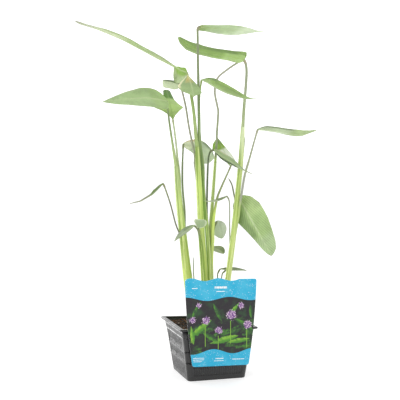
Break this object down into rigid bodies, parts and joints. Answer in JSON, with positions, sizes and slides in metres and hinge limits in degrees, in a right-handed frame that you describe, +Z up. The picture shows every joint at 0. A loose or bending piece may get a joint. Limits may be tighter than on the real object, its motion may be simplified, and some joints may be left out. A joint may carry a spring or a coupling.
{
  "type": "potted powdery thalia",
  "caption": "Young bog plant with leaf shoots, thin arching stalks and lance-shaped leaf blades, in a square slotted pond pot of soil with a picture label hooked over its rim.",
  "frame": {"origin": "centre of the pot's flat base, on the surface it stands on", "axes": "+Z up the plant, -Y out of the pot's front face, where the label hangs, +X to the right seen from the front"},
  "size_m": [0.3225, 0.1659, 0.5054],
  "materials": {
    "pot": "black moulded plastic, softly shiny at a glancing view",
    "soil": "damp dark compost with bark and grit",
    "label": "printed smooth plastic card",
    "shoot": "fresh yellow green sheaths with lengthwise streaks, satin",
    "stalk": "green to brown green, satin",
    "blade": "satin leaf green above, powdery grey green below"
  },
  "bodies": {
    "root": {"back_blade": "blade", "back_shoot": "shoot", "back_stalk": "stalk", "bright_blade": "blade", "bright_stalk": "stalk", "broad_blade": "blade", "broad_stalk": "stalk", "curled_blade": "blade", "curled_stalk": "stalk", "drooping_blade": "blade", "drooping_stalk": "stalk", "foot_blade": "blade", "foot_stalk": "stalk", "front_blade": "blade", "front_stalk": "stalk", "hanging_blade": "blade", "hanging_stalk": "stalk", "inner_blade": "blade", "inner_shoot": "shoot", "inner_stalk": "stalk", "kinked_stalk": "stalk", "label": "label", "left_blade": "blade", "left_shoot": "shoot", "left_stalk": "stalk", "long_blade": "blade", "long_stalk": "stalk", "low_blade": "blade", "low_stalk": "stalk", "middle_shoot": "shoot", "oval_blade": "blade", "oval_stalk": "stalk", "pale_blade": "blade", "pale_stalk": "stalk", "pot": "pot", "right_blade": "blade", "right_shoot": "shoot", "right_stalk": "stalk", "round_blade": "blade", "round_stalk": "stalk", "sheath_tip": "stalk", "slanting_blade": "blade", "slanting_stalk": "stalk", "soil": "soil", "spear": "stalk", "tendril": "stalk", "thin_blade": "blade", "thin_stalk": "stalk", "top_blade": "blade", "top_stalk": "stalk", "upper_blade": "blade", "upper_stalk": "stalk", "young_blade": "blade", "young_stalk": "stalk"}
  },
  "joints": []
}
